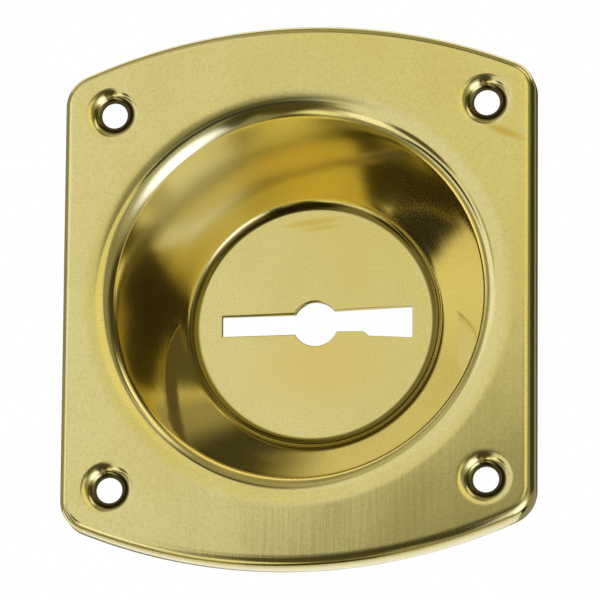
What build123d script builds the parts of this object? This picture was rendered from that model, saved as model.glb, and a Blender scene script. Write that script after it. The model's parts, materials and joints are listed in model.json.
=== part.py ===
from build123d import *
import os
from math import atan2, cos, sqrt, tan

# A keyhole escutcheon with a deep round dish, pressed in one piece from brass sheet.
# It stands as it hangs on a door: +Z is up, the front looks along -Y, and y = 0 is the
# face of the door, on which the turned edge stands. A bend is given by its inside radius.

# Sheet and outline of the plate
sheet = 1.0
plate_width = 70.0
plate_height = 82.0
end_arc_radius = 82.0
corner_radius = 5.0

# Edge turned back all round, from the front face to the door
rim_depth = 4.0
rim_bend = 0.5

# Round dish: the radii at which its straight wall meets the planes of the face and the floor
dish_mouth_radius = 28.3
dish_floor_radius = 18.6
dish_depth = 17.5
dish_lip_bend = 2.8
dish_floor_bend = 2.2

# Four dimpled screw holes, rounded at their lip in front and pressed sharp behind it
screw_pitch_x = 55.5
screw_pitch_z = 57.0
screw_hole_radius = 1.9
dimple_mouth_radius = 3.2
dimple_depth = 3.0
dimple_lip_radius = 1.2

# Keyhole for a key with two bits: a round hole for the stem, a plain slot to the left, and
# to the right a slot that widens to its end, with a sloped step in its lower edge
stem_radius = 3.4
left_reach = 14.0
left_height = 3.1
right_reach = 14.5
right_top_at_stem = 1.9
right_top_at_end = 2.3
right_bottom_at_stem = 1.15
right_bottom_before_step = 1.35
right_bottom_after_step = 2.05
right_bottom_at_end = 2.5
step_start = 7.2
step_end = 8.0

# Planes that the sizes above lead to: the front face and the front of the dish's floor
face_plane = Plane.XZ.offset(rim_depth)
floor_plane = face_plane.offset(-dish_depth)

# A dimple, about its own axis with the face at z = 0: its wall runs at the sheet's thickness
# down to the door, where it ends in a flat ring round the hole
wall_slope = atan2(dimple_mouth_radius - screw_hole_radius, dimple_depth)
wall_across = sheet / cos(wall_slope)
back_mouth_radius = dimple_mouth_radius - sheet * tan(wall_slope) + wall_across
ring_radius = screw_hole_radius - (rim_depth - dimple_depth) * tan(wall_slope) + wall_across
dimple_seam_radius = back_mouth_radius + dimple_lip_radius

with BuildPart() as dimple:
    with BuildSketch(Plane.XZ) as dimple_section:
        with BuildLine():
            front_line = FilletPolyline(
                (dimple_seam_radius, 0),
                (dimple_mouth_radius, 0),
                (screw_hole_radius, -dimple_depth),
                radius=dimple_lip_radius,
            )
            Polyline(
                front_line @ 1,
                (screw_hole_radius, -rim_depth),
                (ring_radius, -rim_depth),
                (back_mouth_radius, -sheet),
                (dimple_seam_radius, -sheet),
                front_line @ 0,
            )
        make_face()
    revolve(axis=Axis.Z)

# The pressing
half_width = plate_width / 2
side_height = plate_height / 2 - end_arc_radius + sqrt(end_arc_radius**2 - half_width**2)
dish_seam_radius = dish_mouth_radius + dish_lip_bend + sheet

with BuildPart() as plate:
    # Tray: the outline, its front edge rounded, and hollowed from behind
    with BuildSketch(Plane.XZ):
        with BuildLine():
            right_side = Line((half_width, -side_height), (half_width, side_height))
            top_end = ThreePointArc(right_side @ 1, (0, plate_height / 2), (-half_width, side_height))
            left_side = Line(top_end @ 1, (-half_width, -side_height))
            ThreePointArc(left_side @ 1, (0, -plate_height / 2), right_side @ 0)
        outline = make_face()
        fillet(outline.vertices(), corner_radius)
    extrude(amount=rim_depth)
    fillet(faces().sort_by(Axis.Y)[0].edges(), rim_bend + sheet)
    offset(amount=-sheet, openings=faces().sort_by(Axis.Y)[-1])

    # Openings in the flat face for what is drawn out of it
    with BuildSketch(face_plane):
        Circle(dish_seam_radius)
        with GridLocations(screw_pitch_x, screw_pitch_z, 2, 2):
            Circle(dimple_seam_radius)
    extrude(amount=-rim_depth, mode=Mode.SUBTRACT)

    # Dish: the line of its front, thickened by the sheet and turned about the plate's axis
    with BuildSketch(Plane.XY):
        with BuildLine():
            FilletPolyline(
                (dish_seam_radius, -rim_depth),
                (dish_mouth_radius, -rim_depth),
                (dish_floor_radius, dish_depth - rim_depth),
                (0, dish_depth - rim_depth),
                radius=[dish_lip_bend + sheet, dish_floor_bend],
            )
            offset(amount=sheet, side=Side.RIGHT)
        make_face()
    revolve(axis=Axis.Y)

    # Dimples, one at each screw
    with Locations(face_plane):
        with GridLocations(screw_pitch_x, screw_pitch_z, 2, 2):
            add(dimple.part)

    # Keyhole, pierced through the floor
    with BuildSketch(floor_plane):
        Circle(stem_radius)
        with Locations((-left_reach / 2, 0)):
            Rectangle(left_reach, left_height)
        with BuildLine():
            Polyline(
                (0, right_top_at_stem),
                (right_reach, right_top_at_end),
                (right_reach, -right_bottom_at_end),
                (step_end, -right_bottom_after_step),
                (step_start, -right_bottom_before_step),
                (0, -right_bottom_at_stem),
                close=True,
            )
        make_face()
    extrude(amount=-sheet, mode=Mode.SUBTRACT)

os.makedirs("parts", exist_ok=True)
plate.part.label = "escutcheon_plate"
export_step(plate.part, "parts/escutcheon_plate.step")
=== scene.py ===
import json
from math import asin, atan2, cos, degrees, pi, radians, sin, sqrt, tan

import bmesh
import bpy
from mathutils import Matrix, Vector


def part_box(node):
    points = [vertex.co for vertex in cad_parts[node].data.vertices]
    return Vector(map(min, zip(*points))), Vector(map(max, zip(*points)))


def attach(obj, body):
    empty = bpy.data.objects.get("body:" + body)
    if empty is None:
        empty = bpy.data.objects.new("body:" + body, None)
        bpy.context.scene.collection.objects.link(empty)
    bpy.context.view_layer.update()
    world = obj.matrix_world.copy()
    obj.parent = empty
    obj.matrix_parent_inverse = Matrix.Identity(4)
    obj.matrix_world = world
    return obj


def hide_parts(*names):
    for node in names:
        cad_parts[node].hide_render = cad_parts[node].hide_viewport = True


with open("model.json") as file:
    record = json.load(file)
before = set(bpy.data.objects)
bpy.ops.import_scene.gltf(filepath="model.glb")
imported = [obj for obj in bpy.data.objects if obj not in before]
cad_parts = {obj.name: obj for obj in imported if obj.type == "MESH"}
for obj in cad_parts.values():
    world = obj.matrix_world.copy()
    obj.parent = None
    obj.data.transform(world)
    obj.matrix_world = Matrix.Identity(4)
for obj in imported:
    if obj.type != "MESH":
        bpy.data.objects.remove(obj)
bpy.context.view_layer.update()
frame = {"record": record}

# Turned edge: the plate is a shallow tray of brass sheet with straight sides and arched ends.
# Its edge is bent back all round, and the cut end of that edge stands on the door.
mm = 0.001
plate_low, plate_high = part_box("escutcheon_plate")
half_width = plate_high.x
half_height = plate_high.z
face = plate_low.y
door = 0.0
sheet = 1.0 * mm
end_arc_radius = 82.0 * mm
corner_radius = 5.0 * mm
edge_bend = 0.5 * mm
end_arc_steps = 30
corner_steps = 14
side_rows = 12
edge_bend_steps = 10
weld = 0.001 * mm
front_to_back = (0, 1, 0)
polished_side = 0
raw_side = 1


def draw_line(bm, start, place):
    """Draws a straight edge from a vertex to a place, and gives the new vertex."""
    drawn = bmesh.ops.extrude_vert_indiv(bm, verts=[start])["verts"][0]
    drawn.co = place
    return drawn


def draw_arc(bm, start, centre, axis, turn, steps):
    """Draws an arc of edges from a vertex about a centre, and gives the last vertex."""
    swept = bmesh.ops.spin(bm, geom=[start], cent=centre, axis=axis, angle=turn, steps=steps)
    return [g for g in swept["geom_last"] if isinstance(g, bmesh.types.BMVert)][0]


def draw_outline(bm):
    """Draws the plate's outline in the plane of the door: one quarter and its mirror images."""
    end_centre = Vector((0, door, half_height - end_arc_radius))
    lean = asin((half_width - corner_radius) / (end_arc_radius - corner_radius))
    corner_centre = end_centre + Vector((sin(lean), 0, cos(lean))) * (end_arc_radius - corner_radius)
    at = bm.verts.new(end_centre + Vector((0, 0, end_arc_radius)))
    at = draw_arc(bm, at, end_centre, front_to_back, lean, end_arc_steps)
    at = draw_arc(bm, at, corner_centre, front_to_back, pi / 2 - lean, corner_steps)
    for row in range(1, side_rows + 1):
        at = draw_line(bm, at, (half_width, door, corner_centre.z * (1 - row / side_rows)))
    for axis in ("X", "Z"):
        bmesh.ops.mirror(bm, geom=bm.verts[:] + bm.edges[:], matrix=Matrix(), merge_dist=weld, axis=axis)


def raise_wall(bm, foot, front, bend):
    """Raises a wall from a loop on the door to the front, and bends it into a front that is left open."""
    raised = bmesh.ops.extrude_edge_only(bm, edges=foot)["geom"]
    top = {g for g in raised if isinstance(g, bmesh.types.BMVert)}
    wall = [g for g in raised if isinstance(g, bmesh.types.BMFace)]
    bmesh.ops.translate(bm, verts=list(top), vec=(0, front - door, 0))
    rim = [g for g in raised if isinstance(g, bmesh.types.BMEdge) and top.issuperset(g.verts)]
    cover = bmesh.ops.edgeloop_fill(bm, edges=rim)["faces"]
    bmesh.ops.recalc_face_normals(bm, faces=wall + cover)
    bmesh.ops.bevel(bm, geom=rim, offset=bend, offset_type="OFFSET", affect="EDGES",
                    segments=edge_bend_steps, profile=0.5, material=-1)
    cover = max(bm.faces, key=lambda f: len(f.verts))
    bmesh.ops.delete(bm, geom=[cover], context="FACES_ONLY")


bm = bmesh.new()
draw_outline(bm)
cut_end = bmesh.ops.edgeloop_fill(bm, edges=bm.edges[:])["faces"]
bmesh.ops.inset_region(bm, faces=cut_end, thickness=sheet, use_even_offset=True, use_boundary=True)
outline = [e for e in bm.edges if e.is_boundary]
inner_outline = cut_end[0].edges[:]
bmesh.ops.delete(bm, geom=cut_end, context="FACES_ONLY")
raise_wall(bm, outline, face, edge_bend + sheet)
polished_faces = set(bm.faces)
raise_wall(bm, inner_outline, face + sheet, edge_bend)
for f in bm.faces:
    f.material_index = polished_side if f in polished_faces else raw_side


# Dimples: the four screw holes are pressed into the sheet as small cups, so that the screw heads sit flush.
# Each has a broad soft lip, a short steep wall, and a flat ring behind where the hole was pierced.
screws = frame["record"]["mounts"][0]["dims"]
screw_hole_radius = screws["hole_r_mm"] * mm
screw_x = screws["spacing_x_mm"] * mm / 2
screw_z = screws["spacing_y_mm"] * mm / 2
dimple_mouth_radius = 3.2 * mm
dimple_depth = 1.7 * mm
dimple_neck = 0.1 * mm
dimple_lip_radius = 1.9 * mm
dimple_slope = atan2(dimple_mouth_radius - screw_hole_radius, dimple_depth)
dimple_turn = pi / 2 - dimple_slope
dimple_start = dimple_mouth_radius + dimple_lip_radius * tan(dimple_turn / 2)
dimple_lip = Vector((dimple_start, face + dimple_lip_radius, 0))
dimple_back = face + dimple_depth + dimple_neck
ring_radius = screw_hole_radius - dimple_neck * tan(dimple_slope) + sheet / cos(dimple_slope)
dimple_lip_steps = 12
dimple_round_steps = 72
out_of_section = (0, 0, 1)


def turn_section(bm, steps):
    """Turns a drawn section once round the axis from the front to the door."""
    bmesh.ops.spin(bm, geom=bm.verts[:] + bm.edges[:], cent=(0, 0, 0), axis=front_to_back, angle=2 * pi,
                   steps=steps, use_merge=True)


def add_turned(bm, turned, side, places):
    """Adds a turned shape to the pressing at each place, as the polished or the raw side of the sheet."""
    for f in turned.faces:
        f.material_index = side
    shape = bpy.data.meshes.new("turned")
    turned.to_mesh(shape)
    turned.free()
    for place in places:
        before = set(bm.verts)
        bm.from_mesh(shape)
        bmesh.ops.translate(bm, verts=[v for v in bm.verts if v not in before], vec=place)
    bpy.data.meshes.remove(shape)


def turn_dimple(lip_radius, below_lip):
    """One side of a dimple: its lip, then straight from one radius and depth to the next."""
    section = bmesh.new()
    at = section.verts.new(dimple_lip - Vector((0, lip_radius, 0)))
    at = draw_arc(section, at, dimple_lip, out_of_section, -dimple_turn, dimple_lip_steps)
    for radius, depth in below_lip:
        at = draw_line(section, at, (radius, depth, 0))
    turn_section(section, dimple_round_steps)
    return section


screw_places = [Vector((x, 0, z)) for x in (-screw_x, screw_x) for z in (-screw_z, screw_z)]
cup = [(screw_hole_radius, face + dimple_depth), (screw_hole_radius, dimple_back), (ring_radius, dimple_back)]
add_turned(bm, turn_dimple(dimple_lip_radius, cup), polished_side, screw_places)
cup_behind = [(ring_radius, dimple_back)]
add_turned(bm, turn_dimple(dimple_lip_radius - sheet, cup_behind), raw_side, screw_places)


# Dish: a round well drawn into the middle of the plate for the key's bow and the fingertips. The face dips
# to it in a faint shoulder; then come a soft lip, a straight sloping wall and a tight bend into a flat floor.
floor = plate_high.y - sheet
dish_mouth_radius = 28.3 * mm
dish_floor_radius = 18.6 * mm
dish_lip_bend = 2.8 * mm
dish_floor_bend = 2.2 * mm
dish_slope = atan2(dish_mouth_radius - dish_floor_radius, floor - face)
dish_turn = pi / 2 - dish_slope
lip_radius = dish_lip_bend + sheet
shoulder_radius = 20.0 * mm
shoulder_turn = radians(6)
shoulder_drop = (shoulder_radius - lip_radius) * (1 - cos(shoulder_turn))
shoulder_run = (shoulder_radius - lip_radius) * sin(shoulder_turn)
lip_start = dish_mouth_radius + lip_radius * tan(dish_turn / 2) - shoulder_drop * tan(dish_slope)
lip_centre = Vector((lip_start, face + lip_radius + shoulder_drop, 0))
shoulder_start = lip_start + shoulder_run
shoulder_centre = Vector((shoulder_start, face + shoulder_radius, 0))
floor_edge = dish_floor_radius - dish_floor_bend * tan(dish_turn / 2)
bend_centre = Vector((floor_edge, floor - dish_floor_bend, 0))
shoulder_steps = 8
lip_steps = 18
wall_rows = 12
floor_bend_steps = 16
dish_round_steps = 192


def turn_dish(depth, bend_radius):
    """One side of the dish, from a depth behind the face: shoulder, lip, wall and the bend into the floor."""
    section = bmesh.new()
    at = section.verts.new((shoulder_start, face + depth, 0))
    at = draw_arc(section, at, shoulder_centre, out_of_section, -shoulder_turn, shoulder_steps)
    at = draw_arc(section, at, lip_centre, out_of_section, shoulder_turn - dish_turn, lip_steps)
    wall_top = at.co.copy()
    wall_foot = bend_centre + Vector((sin(dish_turn), cos(dish_turn), 0)) * bend_radius
    for row in range(1, wall_rows + 1):
        at = draw_line(section, at, wall_top.lerp(wall_foot, row / wall_rows))
    draw_arc(section, at, bend_centre, out_of_section, dish_turn, floor_bend_steps)
    turn_section(section, dish_round_steps)
    return section


in_the_middle = [Vector((0, 0, 0))]
add_turned(bm, turn_dish(0, dish_floor_bend), polished_side, in_the_middle)
add_turned(bm, turn_dish(sheet, dish_floor_bend + sheet), raw_side, in_the_middle)


# Keyhole: pierced through the floor of the dish with one punch, for a key with two bits.
# A round hole takes the stem; the slot on the right widens to its end and has a sloped step.
stem_radius = 3.4 * mm
left_reach = 14.0 * mm
left_half_height = 1.55 * mm
right_reach = 14.5 * mm
right_top_at_stem = 1.9 * mm
right_top_at_end = 2.3 * mm
right_bottom_at_stem = 1.15 * mm
right_bottom_before_step = 1.35 * mm
right_bottom_after_step = 2.05 * mm
right_bottom_at_end = 2.5 * mm
step_start = 7.2 * mm
step_end = 8.0 * mm
stem_steps = 20


def leaves_stem(rise, slope):
    """Angle at which a slot's edge, at a rise and slope from the stem's axis, leaves the stem's hole."""
    along = (-rise * slope + sqrt(stem_radius**2 * (1 + slope**2) - rise**2)) / (1 + slope**2)
    return atan2(rise + slope * along, along)


def draw_keyhole(bm, depth):
    """Draws the keyhole's outline as a loop at a depth."""
    left_angle = asin(left_half_height / stem_radius)
    top_angle = leaves_stem(right_top_at_stem, (right_top_at_end - right_top_at_stem) / right_reach)
    bottom_slope = (right_bottom_before_step - right_bottom_at_stem) / step_start
    bottom_angle = leaves_stem(right_bottom_at_stem, bottom_slope)
    stem_axis = Vector((0, depth, 0))
    first = bm.verts.new((-left_reach, depth, left_half_height))
    at = draw_line(bm, first, (-stem_radius * cos(left_angle), depth, left_half_height))
    at = draw_arc(bm, at, stem_axis, front_to_back, pi - left_angle - top_angle, stem_steps)
    at = draw_line(bm, at, (right_reach, depth, right_top_at_end))
    at = draw_line(bm, at, (right_reach, depth, -right_bottom_at_end))
    at = draw_line(bm, at, (step_end, depth, -right_bottom_after_step))
    at = draw_line(bm, at, (step_start, depth, -right_bottom_before_step))
    at = draw_line(bm, at, (stem_radius * cos(bottom_angle), depth, -stem_radius * sin(bottom_angle)))
    at = draw_arc(bm, at, stem_axis, front_to_back, pi - left_angle - bottom_angle, stem_steps)
    at = draw_line(bm, at, (-left_reach, depth, -left_half_height))
    bm.edges.new((at, first))


draw_keyhole(bm, floor)
draw_keyhole(bm, floor + sheet)


# The whole pressing: the sheet is filled in where it stays flat, between the edge, the dimples and
# the dish and on the floor round the keyhole, and every cut edge loses its sharpness in the polishing.
cut_edge_round = 0.12 * mm
cut_edge_steps = 3
cut_angle = radians(40)
flat_margin = 0.3 * mm
at_depth = 0.01 * mm


def open_edges(bm, depth):
    """Edges at one depth that have an open side."""
    level = [e for e in bm.edges if all(abs(v.co.y - depth) < at_depth for v in e.verts)]
    return [e for e in level if len(e.link_faces) < 2]


def fill_flat(bm, depth, side):
    """Fills the sheet where it lies flat at a depth, with a narrow margin along each edge."""
    filled = bmesh.ops.triangle_fill(bm, edges=open_edges(bm, depth), use_beauty=True, normal=(0, -1, 0))
    flat = [g for g in filled["geom"] if isinstance(g, bmesh.types.BMFace)]
    bmesh.ops.recalc_face_normals(bm, faces=flat)
    margin = bmesh.ops.inset_region(bm, faces=flat, thickness=flat_margin, use_even_offset=True,
                                    use_boundary=True)["faces"]
    for f in flat + margin:
        f.material_index = side


bmesh.ops.remove_doubles(bm, verts=bm.verts[:], dist=weld)
fill_flat(bm, face, polished_side)
fill_flat(bm, floor, polished_side)
fill_flat(bm, face + sheet, raw_side)
fill_flat(bm, floor + sheet, raw_side)
bmesh.ops.bridge_loops(bm, edges=open_edges(bm, floor) + open_edges(bm, floor + sheet))
bmesh.ops.recalc_face_normals(bm, faces=bm.faces[:])
cut_edges = [e for e in bm.edges if e.calc_face_angle() > cut_angle]
bmesh.ops.bevel(bm, geom=cut_edges, offset=cut_edge_round, offset_type="OFFSET", affect="EDGES",
                segments=cut_edge_steps, profile=0.5, material=-1)
for f in bm.faces:
    f.smooth = True
pressing_mesh = bpy.data.meshes.new("escutcheon_pressing")
bm.to_mesh(pressing_mesh)
bm.free()
pressing = bpy.data.objects.new("escutcheon_pressing", pressing_mesh)
bpy.context.scene.collection.objects.link(pressing)
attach(pressing, "root")
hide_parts("escutcheon_plate")


# Polished brass: the front is buffed bright, with fine upright strokes on the flat, rings from the lathe
# in the dish and level strokes on its floor. Old polish has stayed in a few smears, and fingers have rubbed
# the upper left of the dish. Painted shade darkens the crease at the floor of the dish and each screw hole,
# and a pale painted reflection lies on the upper left of the dish wall. Marks are counted to the metre.
brass_colour = (0.88, 0.77, 0.36, 1)
worn_colour = (0.84, 0.70, 0.29, 1)
grain_colour = (0.68, 0.57, 0.24, 1)
crease_shade_colour = (0.20, 0.15, 0.03, 1)
smear_colour = (0.70, 0.48, 0.10, 1)
hole_shade_colour = (0.04, 0.03, 0.01, 1)
warm_colour = (0.90, 0.66, 0.22, 1)
pale_reflection_colour = (0.97, 0.94, 0.76, 1)
face_roughness = 0.11
dish_roughness = 0.065
stroke_roughness = 0.03
rubbed_roughness = 0.06
stroke_height = 0.003 * mm
ring_height = 0.002 * mm
wave_height = 0.05 * mm
mean_height = 0.5
upright_marks = (1500, 0, 70)
level_marks = (70, 0, 1500)
stroke_detail = 3
ring_marks = 1700
ring_detail = 2
wave_marks = (90, 90, 60)
grain_marks = (3400, 3400, 3400)
fine_detail = 1
worn_range = (0.40, 0.75)
worn_share = 0.6
grain_range = (0.35, 0.75)
grain_share = 0.45
dish_border = (30.0 * mm, 32.0 * mm)
floor_border = (17.0 * mm, 18.0 * mm)
crease_shade_inner_border = (17.3 * mm, 17.7 * mm)
crease_shade_outer_border = (18.4 * mm, 18.8 * mm)
hole_shade_offset = Vector((0.35 * mm, 0, -0.35 * mm))
hole_shade_radius = 2.85 * mm
hole_shade_softness = 0.12
hole_shade_share = 0.95
any_depth = 1.0
across_axis = (1, 1000, 1)
unturned = (0, 0, 0)


def feed(tree, value, socket):
    """Feeds a socket from another one, or sets a constant on it."""
    if isinstance(value, bpy.types.NodeSocket):
        tree.links.new(value, socket)
    else:
        socket.default_value = value


def reckon(tree, operation, *values):
    """A value worked out of others."""
    sums = tree.nodes.new("ShaderNodeMath")
    sums.operation = operation
    for value, socket in zip(values, sums.inputs):
        feed(tree, value, socket)
    return sums.outputs[0]


def spread(tree, value, low, high, from_value, to_value):
    """A value that runs smoothly between two others as an input runs from low to high."""
    ramp = tree.nodes.new("ShaderNodeMapRange")
    ramp.interpolation_type = "SMOOTHSTEP"
    ramp.inputs["From Min"].default_value = low
    ramp.inputs["From Max"].default_value = high
    ramp.inputs["To Min"].default_value = from_value
    ramp.inputs["To Max"].default_value = to_value
    tree.links.new(value, ramp.inputs["Value"])
    return ramp.outputs["Result"]


def reach(tree, coordinates, place, size, turn):
    """Distance of a point from a place, measured in an oval's own half sizes."""
    laid = tree.nodes.new("ShaderNodeMapping")
    laid.vector_type = "TEXTURE"
    laid.inputs["Location"].default_value = place
    laid.inputs["Rotation"].default_value = turn
    laid.inputs["Scale"].default_value = size
    tree.links.new(coordinates, laid.inputs["Vector"])
    length = tree.nodes.new("ShaderNodeVectorMath")
    length.operation = "LENGTH"
    tree.links.new(laid.outputs["Vector"], length.inputs[0])
    return length.outputs["Value"]


def soft_patch(tree, coordinates, place, size, turn, softness, strength):
    """A soft-edged oval patch: its strength within it and 0 beyond."""
    distance = reach(tree, coordinates, place, size, turn)
    return spread(tree, distance, 1 - softness, 1 + softness, strength, 0)


def stretched_noise(tree, coordinates, marks, detail):
    """Noise with so many marks to the metre along each axis."""
    laid = tree.nodes.new("ShaderNodeMapping")
    laid.inputs["Scale"].default_value = marks
    tree.links.new(coordinates, laid.inputs["Vector"])
    noise = tree.nodes.new("ShaderNodeTexNoise")
    noise.inputs["Scale"].default_value = 1
    noise.inputs["Detail"].default_value = detail
    tree.links.new(laid.outputs["Vector"], noise.inputs["Vector"])
    return noise.outputs[0]


def blend(tree, share, first, second):
    """Blends two values by a share."""
    mixed = tree.nodes.new("ShaderNodeMix")
    tree.links.new(share, mixed.inputs[0])
    feed(tree, first, mixed.inputs[2])
    feed(tree, second, mixed.inputs[3])
    return mixed.outputs[0]


def paint(tree, under, share, colour):
    """Lays a colour over another by a share."""
    mixed = tree.nodes.new("ShaderNodeMix")
    mixed.data_type = "RGBA"
    tree.links.new(share, mixed.inputs[0])
    feed(tree, under, mixed.inputs[6])
    feed(tree, colour, mixed.inputs[7])
    return mixed.outputs[2]


def raise_relief(tree, height, rise, below):
    """Relief of a given rise, on top of another where there is one."""
    relief = tree.nodes.new("ShaderNodeBump")
    relief.inputs["Distance"].default_value = rise
    tree.links.new(height, relief.inputs["Height"])
    if below:
        tree.links.new(below, relief.inputs["Normal"])
    return relief.outputs["Normal"]


polished = bpy.data.materials.new("polished_brass")
polished.use_nodes = True
tree = polished.node_tree
shader = tree.nodes["Principled BSDF"]
shader.inputs["Metallic"].default_value = 1.0
spot = tree.nodes.new("ShaderNodeTexCoord").outputs["Object"]
radius = reach(tree, spot, (0, 0, 0), across_axis, unturned)
in_dish = spread(tree, radius, *dish_border, 1, 0)
on_floor = spread(tree, radius, *floor_border, 1, 0)
rings = tree.nodes.new("ShaderNodeTexNoise")
rings.noise_dimensions = "1D"
rings.inputs["Scale"].default_value = 1
rings.inputs["Detail"].default_value = ring_detail
tree.links.new(reckon(tree, "MULTIPLY", radius, ring_marks), rings.inputs["W"])
upright = stretched_noise(tree, spot, upright_marks, stroke_detail)
level = stretched_noise(tree, spot, level_marks, stroke_detail)
strokes = blend(tree, in_dish, upright, rings.outputs[0])
strokes = blend(tree, on_floor, strokes, level)
face_strokes = blend(tree, in_dish, upright, mean_height)
waves = stretched_noise(tree, spot, wave_marks, fine_detail)
grain = stretched_noise(tree, spot, grain_marks, fine_detail)

colour = paint(tree, brass_colour, spread(tree, waves, *worn_range, 0, worn_share), worn_colour)
colour = paint(tree, colour, spread(tree, grain, *grain_range, 0, grain_share), grain_colour)
# Painted shade: a dark ring on the bend where the floor of the dish turns up into its wall.
past_floor = spread(tree, radius, *crease_shade_inner_border, 0, 1)
below_wall = spread(tree, radius, *crease_shade_outer_border, 1, 0)
colour = paint(tree, colour, reckon(tree, "MULTIPLY", past_floor, below_wall), crease_shade_colour)

# Each smear and each patch of painted light: middle, half sizes, turn in degrees, softness of its border,
# share and colour
smears_and_painted_light = [
    # A pale painted reflection on the upper left of the dish wall.
    ((-16 * mm, 4 * mm, 18 * mm), (9 * mm, 15 * mm, 4.5 * mm), -42, 0.60, 0.85, pale_reflection_colour),
    ((30.7 * mm, face, 23.5 * mm), (2.6 * mm, any_depth, 0.55 * mm), 22, 0.60, 0.75, smear_colour),
    ((0.5 * mm, floor, -6.5 * mm), (8 * mm, 1 * mm, 5 * mm), 0, 0.70, 0.55, warm_colour),
    ((-0.5 * mm, floor, 15.6 * mm), (3.6 * mm, 1 * mm, 0.5 * mm), -6, 0.60, 0.60, smear_colour),
    ((0.8 * mm, floor, 14.7 * mm), (2.6 * mm, 1 * mm, 0.35 * mm), -6, 0.60, 0.50, smear_colour),
]
# Painted shade: each screw hole gets a near-black patch, set off a little to the lower right of the hole.
for place in screw_places:
    hole_shade_size = (hole_shade_radius, any_depth, hole_shade_radius)
    smears_and_painted_light.append((place + hole_shade_offset, hole_shade_size, 0, hole_shade_softness, hole_shade_share, hole_shade_colour))
for place, size, turn, softness, share, shade in smears_and_painted_light:
    patch_share = soft_patch(tree, spot, place, size, (0, radians(turn), 0), softness, share)
    colour = paint(tree, colour, patch_share, shade)
tree.links.new(colour, shader.inputs["Base Color"])

rubbed_place = (-9 * mm, 0, 20 * mm)
rubbed_size = (18 * mm, any_depth, 8 * mm)
rubbed_turn = (0, radians(-35), 0)
rubbed_softness = 0.5
rubbed = soft_patch(tree, spot, rubbed_place, rubbed_size, rubbed_turn, rubbed_softness, rubbed_roughness)
roughness = spread(tree, radius, *dish_border, dish_roughness, face_roughness)
roughness = reckon(tree, "MULTIPLY_ADD", strokes, stroke_roughness, roughness)
tree.links.new(reckon(tree, "ADD", roughness, rubbed), shader.inputs["Roughness"])
relief = raise_relief(tree, waves, wave_height, None)
relief = raise_relief(tree, face_strokes, stroke_height, relief)
relief = raise_relief(tree, strokes, ring_height, relief)
tree.links.new(relief, shader.inputs["Normal"])
pressing_mesh.materials.append(polished)


# Raw brass: the back is left as it came from the press, dull and streaked by the rolling mill,
# with brown tarnish in clouds.
raw_colour = (0.72, 0.57, 0.25, 1)
tarnish_colour = (0.42, 0.30, 0.12, 1)
mill_marks = (60, 60, 1200)
mill_detail = 3
mill_range = (0.55, 0.80)
mill_share = 0.4
mill_height = 0.004 * mm
cloud_marks = (130, 130, 130)
cloud_detail = 4
cloud_range = (0.45, 0.75)
cloud_share = 0.8
dull_range = (0.3, 0.7)
raw_roughness = (0.30, 0.46)
raw = bpy.data.materials.new("raw_brass")
raw.use_nodes = True
tree = raw.node_tree
shader = tree.nodes["Principled BSDF"]
shader.inputs["Metallic"].default_value = 1.0
spot = tree.nodes.new("ShaderNodeTexCoord").outputs["Object"]
mill = stretched_noise(tree, spot, mill_marks, mill_detail)
clouds = stretched_noise(tree, spot, cloud_marks, cloud_detail)
colour = paint(tree, raw_colour, spread(tree, clouds, *cloud_range, 0, cloud_share), tarnish_colour)
colour = paint(tree, colour, spread(tree, mill, *mill_range, 0, mill_share), tarnish_colour)
tree.links.new(colour, shader.inputs["Base Color"])
tree.links.new(spread(tree, clouds, *dull_range, *raw_roughness), shader.inputs["Roughness"])
tree.links.new(raise_relief(tree, mill, mill_height, None), shader.inputs["Normal"])
pressing_mesh.materials.append(raw)


# Light tent: a bowl of cloth stands in front of the plate and gives its light. A hood of the same cloth goes
# on behind the plate, from just below it upwards, and from lower down on the right.
# It glows softly, with brighter and darker panels, and the camera doesn't see it.
scene = bpy.context.scene
scene.view_settings.view_transform = "Standard"
tent_radius = 0.6
tent_reach = radians(104)
tent_gores = 192
tent_rows = 96
hood_height = 0.36
hood_foot = -0.06
no_distance = 1e-9
tent_glow = (0.28, 0.27, 0.17, 1)

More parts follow.
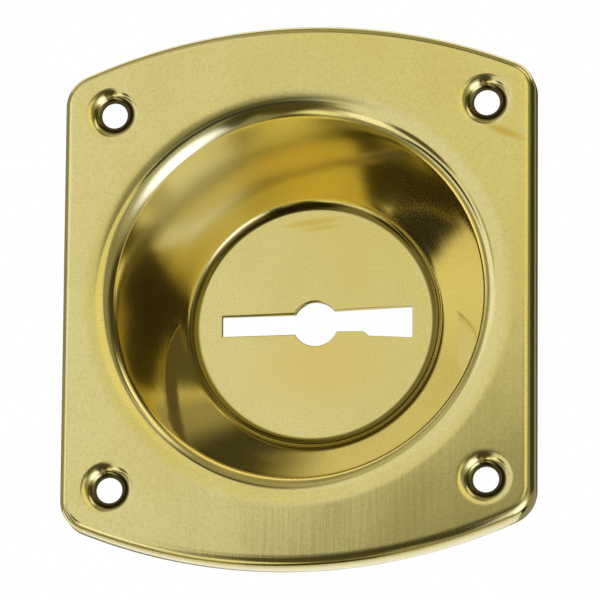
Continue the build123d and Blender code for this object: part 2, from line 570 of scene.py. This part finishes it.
# Each panel: degrees right and up from straight ahead, half width and height, turn, softness, colour
tent_panels = {
    "left_window": ((-40, 2), (34, 52), -24, 0.12, (0.78, 0.79, 0.71)),
    "left_lamp": ((-58, 17), (14, 22), -12, 0.70, (0.95, 0.97, 1.00)),
    "low_left_lamp": ((-36, -48), (11, 12), -15, 0.40, (1.10, 1.10, 1.00)),
    "low_lamp": ((-22, -66), (12, 10), 0, 0.60, (0.95, 0.95, 0.65)),
    "low_room": ((16, -1), (9, 5), 0, 0.30, (0.74, 0.72, 0.45)),
    "room": ((12, 25), (24, 23), 0, 0.15, (0.74, 0.73, 0.50)),
    "room_light": ((17, 23), (15, 18), 0, 0.50, (0.88, 0.83, 0.44)),
    "upper_right_lamp": ((42, 58), (19, 11), -25, 0.55, (1.25, 1.18, 0.90)),
    "right_wall": ((45, -26), (34, 20), -10, 0.30, (0.42, 0.42, 0.30)),
    "lower_right_lamp": ((46, -47), (25, 24), -15, 0.50, (1.55, 1.62, 2.00)),
    "far_right_dark": ((90, 25), (31, 36), 0, 0.30, (0.05, 0.05, 0.03)),
    "right_dark": ((52, 40), (5, 25), 44, 0.50, (0.11, 0.11, 0.07)),
    "top_dark": ((7, 51.5), (15, 3.5), 12, 0.35, (0.05, 0.05, 0.04)),
    "far_top_dark": ((0, 84), (14, 20), 0, 0.50, (0.34, 0.32, 0.18)),
    "top_left_room": ((-38, 60), (30, 12), 8, 0.50, (0.50, 0.48, 0.33)),
    "small_lamp": ((25, 51.5), (9, 3.5), 0, 0.80, (0.37, 0.37, 0.34)),
    "low_dark": ((-6, -40), (11, 31), 5, 0.25, (0.07, 0.06, 0.02)),
    "low_right_dark": ((11, -44), (6, 26), 22, 0.25, (0.05, 0.05, 0.02)),
    "corner_dark": ((85, -82), (26, 26), 0, 0.30, (0.03, 0.03, 0.02)),
    "floor_dark": ((-9, -97), (18, 20), 0, 0.25, (0.04, 0.04, 0.01)),
    "near_dark": ((-1.5, 2.6), (10, 10.8), 0, 0.12, (0.27, 0.27, 0.18)),
    "near_core": ((-4, -3), (8, 8), 0, 0.50, (0.09, 0.09, 0.05)),
    "middle_dark": ((0, -15.5), (15, 5.5), 8, 0.20, (0.04, 0.04, 0.04)),
    "right_middle_dark": ((13, -8.5), (6, 7), 0, 0.25, (0.05, 0.05, 0.04)),
    "left_dark": ((-60, -25), (5.5, 26), 6, 0.25, (0.03, 0.03, 0.03)),
    "left_streak": ((-40, -20), (8, 13), 0, 0.35, (0.10, 0.09, 0.04)),
    "left_shade": ((-45, 6), (5, 9), 0, 0.50, (0.46, 0.45, 0.34)),
    "back_dark": ((0, 150), (115, 28), 0, 0.20, (0.03, 0.03, 0.02)),
}

tent_bm = bmesh.new()
bmesh.ops.create_uvsphere(tent_bm, u_segments=tent_gores, v_segments=tent_rows, radius=tent_radius)
bmesh.ops.rotate(tent_bm, verts=tent_bm.verts[:], cent=(0, 0, 0), matrix=Matrix.Rotation(pi / 2, 3, "X"))
tent_back = [v for v in tent_bm.verts if v.co.y > -tent_radius * cos(tent_reach)]
tent_open = [v for v in tent_back if not hood_foot - max(v.co.x, 0) < v.co.z < hood_height]
bmesh.ops.delete(tent_bm, geom=tent_open, context="VERTS")
tent_mesh = bpy.data.meshes.new("light_tent")
tent_bm.to_mesh(tent_mesh)
tent_bm.free()
aim_at = tent_mesh.attributes.new("aim", "FLOAT_VECTOR", "POINT")
for point, aimed in zip(tent_mesh.vertices, aim_at.data):
    across = max(point.co.xz.length, no_distance)
    off = degrees(atan2(across, -point.co.y))
    aimed.vector = (off * point.co.x / across, off * point.co.z / across, 0)


def glowing_cloth(name, coordinates, glow, patches):
    """A cloth that glows, with soft patches of other brightness laid over each other."""
    cloth = bpy.data.materials.new(name)
    cloth.use_nodes = True
    cloth.cycles.emission_sampling = "NONE"
    tree = cloth.node_tree
    tree.nodes.clear()
    light = tree.nodes.new("ShaderNodeEmission")
    if coordinates == "Object":
        where = tree.nodes.new("ShaderNodeTexCoord").outputs["Object"]
    else:
        attribute = tree.nodes.new("ShaderNodeAttribute")
        attribute.attribute_name = coordinates
        where = attribute.outputs["Vector"]
    shade = glow
    for place, size, turn, softness, patch_colour in patches:
        patch = soft_patch(tree, where, place, size, turn, softness, 1)
        shade = paint(tree, shade, patch, patch_colour)
    tree.links.new(shade, light.inputs["Color"])
    out = tree.nodes.new("ShaderNodeOutputMaterial")
    tree.links.new(light.outputs[0], out.inputs["Surface"])
    return cloth


def stand_in_scene(name, mesh, material, seen):
    """Puts a thing of the studio in the scene, seen by the camera or only by the brass."""
    mesh.materials.append(material)
    thing = bpy.data.objects.new(name, mesh)
    thing.visible_camera = seen
    scene.collection.objects.link(thing)


panels = [((*aimed, 0), (*size, 1), (0, 0, radians(turn)), softness, (*shade, 1))
          for aimed, size, turn, softness, shade in tent_panels.values()]
stand_in_scene("light_tent", tent_mesh, glowing_cloth("tent_cloth", "aim", tent_glow, panels), False)


# Flags: small cloths hang in the keyhole and the screw holes, and only the brass mirrors them. They are
# dark, as it is in a door; the one in the keyhole is brown left of the stem and pale to the right of it.
flag_dark = (0.10, 0.08, 0.03, 1)
flag_pale = (0.56, 0.55, 0.39, 1)
flag_bright = (0.70, 0.64, 0.33, 1)
flag_brown = (0.26, 0.18, 0.04, 1)
flag_steps = 32
flag_bm = bmesh.new()
draw_keyhole(flag_bm, floor + sheet / 2)
bmesh.ops.edgeloop_fill(flag_bm, edges=flag_bm.edges[:])
for place in screw_places:
    behind_hole = Matrix.Translation(place + Vector((0, dimple_back, 0)))
    bmesh.ops.create_circle(flag_bm, cap_ends=True, segments=flag_steps, radius=screw_hole_radius,
                            matrix=behind_hole @ Matrix.Rotation(pi / 2, 4, "X"))
flag_mesh = bpy.data.meshes.new("flags")
flag_bm.to_mesh(flag_mesh)
flag_bm.free()
flag_parts = [
    ((5.5 * mm, floor, 0.5 * mm), (5.5 * mm, any_depth, 4.5 * mm), unturned, 0.20, flag_pale),
    ((9 * mm, floor, -1.2 * mm), (8.5 * mm, any_depth, 4.4 * mm), unturned, 0.20, flag_bright),
    ((-4 * mm, floor, -0.6 * mm), (4.5 * mm, any_depth, 4.0 * mm), unturned, 0.25, flag_brown),
]
stand_in_scene("flags", flag_mesh, glowing_cloth("flag_cloth", "Object", flag_dark, flag_parts), False)


# Floor and room: a pale painted floor lies well below the plate and the tent.
# The room around them is plain white, and lights the back of the plate.
ground_drop = 0.65
ground_reach = 4.0
ground_colour = (0.9, 0.9, 0.9, 1)
ground_roughness = 0.9
room_white = (1, 1, 1, 1)
ground_bm = bmesh.new()
bmesh.ops.create_grid(ground_bm, x_segments=1, y_segments=1, size=ground_reach)
bmesh.ops.translate(ground_bm, verts=ground_bm.verts[:], vec=(0, 0, -ground_drop))
ground_mesh = bpy.data.meshes.new("floor")
ground_bm.to_mesh(ground_mesh)
ground_bm.free()
ground_paint = bpy.data.materials.new("floor_paint")
ground_paint.use_nodes = True
ground_shader = ground_paint.node_tree.nodes["Principled BSDF"]
ground_shader.inputs["Base Color"].default_value = ground_colour
ground_shader.inputs["Roughness"].default_value = ground_roughness
stand_in_scene("floor", ground_mesh, ground_paint, True)
world = bpy.data.worlds.new("white_room")
scene.world = world
world.use_nodes = True
world.node_tree.nodes["Background"].inputs["Color"].default_value = room_white


# Camera: it stands far off with a long lens, a little to the right of the plate and below it, and looks
# up at the front. It is rolled by half a degree and aimed a touch beside the middle of the face.
camera_right = radians(9.08)
camera_up = radians(-15.07)
camera_roll = radians(0.504)
camera_distance = 1.221
aim_right = 0.439 * mm
aim_down = 1.001 * mm
camera_data = bpy.data.cameras.new("camera")
camera_data.lens = 500.8
camera_data.sensor_width = 36.0
camera = bpy.data.objects.new("camera", camera_data)
scene.collection.objects.link(camera)
back = Vector((sin(camera_right) * cos(camera_up), -cos(camera_right) * cos(camera_up), sin(camera_up)))
level_right = Vector((0, 0, 1)).cross(back).normalized()
level_up = back.cross(level_right)
right_axis = level_right * cos(camera_roll) + level_up * sin(camera_roll)
up_axis = level_up * cos(camera_roll) - level_right * sin(camera_roll)
aim = Vector((0, face, 0)) + right_axis * aim_right - up_axis * aim_down
camera_turn = Matrix((right_axis, up_axis, back)).transposed().to_4x4()
camera.matrix_world = Matrix.Translation(aim + back * camera_distance) @ camera_turn
scene.camera = camera
